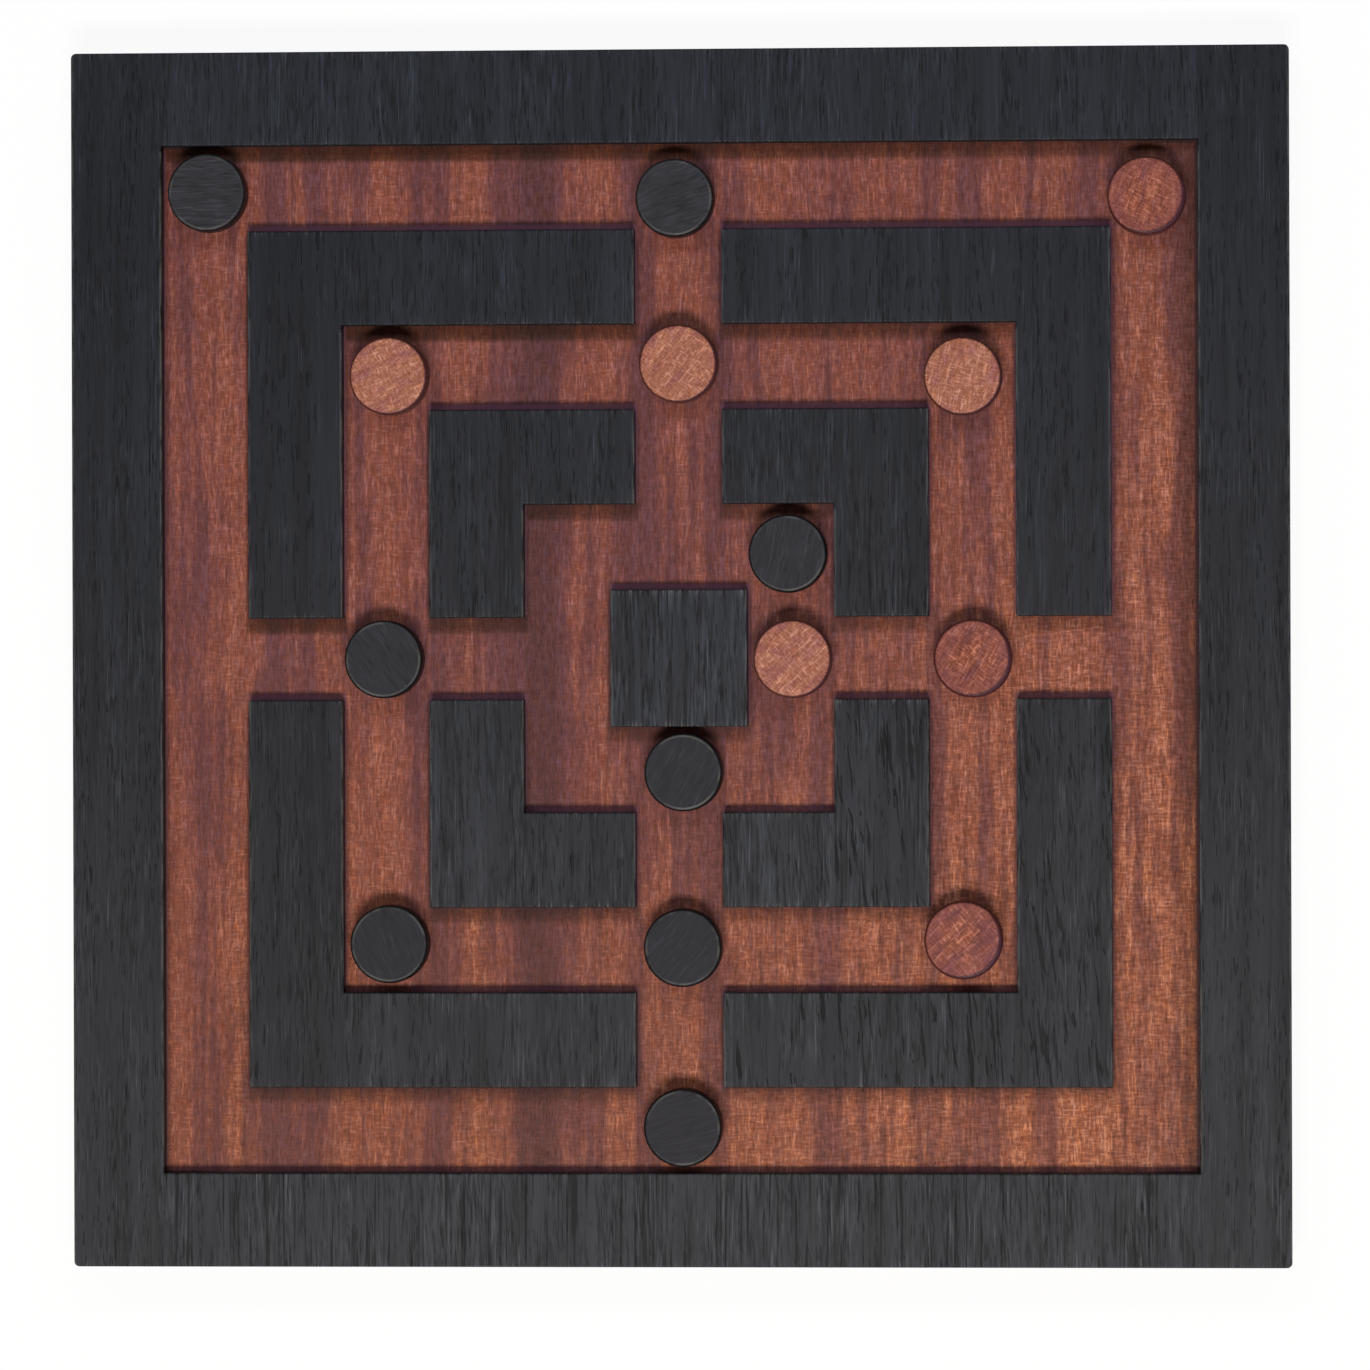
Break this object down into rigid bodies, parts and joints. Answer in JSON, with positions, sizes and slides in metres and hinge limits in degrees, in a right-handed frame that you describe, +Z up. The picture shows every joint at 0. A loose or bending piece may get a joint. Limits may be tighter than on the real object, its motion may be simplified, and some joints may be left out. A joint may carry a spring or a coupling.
{
  "type": "nine mens morris board",
  "caption": "Square board game: dark strips on a red wood panel leave sunk lanes in which loose round wooden men slide.",
  "frame": {"origin": "middle of the flat underside, on the surface that the board lies on", "axes": "+Z up out of the board's face, +X across the board towards its g column, +Y up the board towards its seventh row"},
  "size_m": [0.3252, 0.3246, 0.0206],
  "materials": {
    "red_panel": "satin",
    "dark_strips": "matt",
    "dark_men": "satin",
    "red_men": "satin"
  },
  "bodies": {
    "board": {"panel": "red_panel", "left_stile": "dark_strips", "right_stile": "dark_strips", "top_rail": "dark_strips", "bottom_rail": "dark_strips", "centre_block": "dark_strips", "outer_leg_top_left": "dark_strips", "outer_leg_top_right": "dark_strips", "outer_leg_bottom_left": "dark_strips", "outer_leg_bottom_right": "dark_strips", "outer_arm_top_left": "dark_strips", "outer_arm_top_right": "dark_strips", "outer_arm_bottom_left": "dark_strips", "outer_arm_bottom_right": "dark_strips", "inner_leg_top_left": "dark_strips", "inner_leg_top_right": "dark_strips", "inner_leg_bottom_left": "dark_strips", "inner_leg_bottom_right": "dark_strips", "inner_arm_top_left": "dark_strips", "inner_arm_top_right": "dark_strips", "inner_arm_bottom_left": "dark_strips", "inner_arm_bottom_right": "dark_strips"},
    "man_a7": {"dark_man_a7": "dark_men"},
    "man_d7": {"dark_man_d7": "dark_men"},
    "man_e5": {"dark_man_e5": "dark_men"},
    "man_b4": {"dark_man_b4": "dark_men"},
    "man_d3": {"dark_man_d3": "dark_men"},
    "man_b2": {"dark_man_b2": "dark_men"},
    "man_d2": {"dark_man_d2": "dark_men"},
    "man_d1": {"dark_man_d1": "dark_men"},
    "man_g7": {"red_man_g7": "red_men"},
    "man_b6": {"red_man_b6": "red_men"},
    "man_d6": {"red_man_d6": "red_men"},
    "man_f6": {"red_man_f6": "red_men"},
    "man_e4": {"red_man_e4": "red_men"},
    "man_f4": {"red_man_f4": "red_men"},
    "man_f2": {"red_man_f2": "red_men"}
  },
  "joints": [
    {"name": "a7_slides_to_a4", "type": "slide", "parent": "board", "child": "man_a7", "axis": [0, -1, 0], "range_m": [0, 0.12465]},
    {"name": "d7_lifts_out", "type": "slide", "parent": "board", "child": "man_d7", "axis": [0, 0, 1], "range_m": [0, 0.03]},
    {"name": "e5_lifts_out", "type": "slide", "parent": "board", "child": "man_e5", "axis": [0, 0, 1], "range_m": [0, 0.03]},
    {"name": "b4_slides_to_c4", "type": "slide", "parent": "board", "child": "man_b4", "axis": [1, 0, 0], "range_m": [0, 0.04885]},
    {"name": "d3_slides_to_c3", "type": "slide", "parent": "board", "child": "man_d3", "axis": [-1, 0, 0], "range_m": [0, 0.03115]},
    {"name": "b2_lifts_out", "type": "slide", "parent": "board", "child": "man_b2", "axis": [0, 0, 1], "range_m": [0, 0.03]},
    {"name": "d2_lifts_out", "type": "slide", "parent": "board", "child": "man_d2", "axis": [0, 0, 1], "range_m": [0, 0.03]},
    {"name": "d1_slides_to_a1_or_g1", "type": "slide", "parent": "board", "child": "man_d1", "axis": [1, 0, 0], "range_m": [-0.12765, 0.12585]},
    {"name": "g7_lifts_out", "type": "slide", "parent": "board", "child": "man_g7", "axis": [0, 0, 1], "range_m": [0, 0.03]},
    {"name": "b6_lifts_out", "type": "slide", "parent": "board", "child": "man_b6", "axis": [0, 0, 1], "range_m": [0, 0.03]},
    {"name": "d6_slides_to_d5", "type": "slide", "parent": "board", "child": "man_d6", "axis": [0, -1, 0], "range_m": [0, 0.04865]},
    {"name": "f6_lifts_out", "type": "slide", "parent": "board", "child": "man_f6", "axis": [0, 0, 1], "range_m": [0, 0.03]},
    {"name": "e4_slides_to_e3", "type": "slide", "parent": "board", "child": "man_e4", "axis": [0, -1, 0], "range_m": [0, 0.0294]},
    {"name": "f4_slides_to_g4", "type": "slide", "parent": "board", "child": "man_f4", "axis": [1, 0, 0], "range_m": [0, 0.04835]},
    {"name": "f2_lifts_out", "type": "slide", "parent": "board", "child": "man_f2", "axis": [0, 0, 1], "range_m": [0, 0.03]}
  ]
}
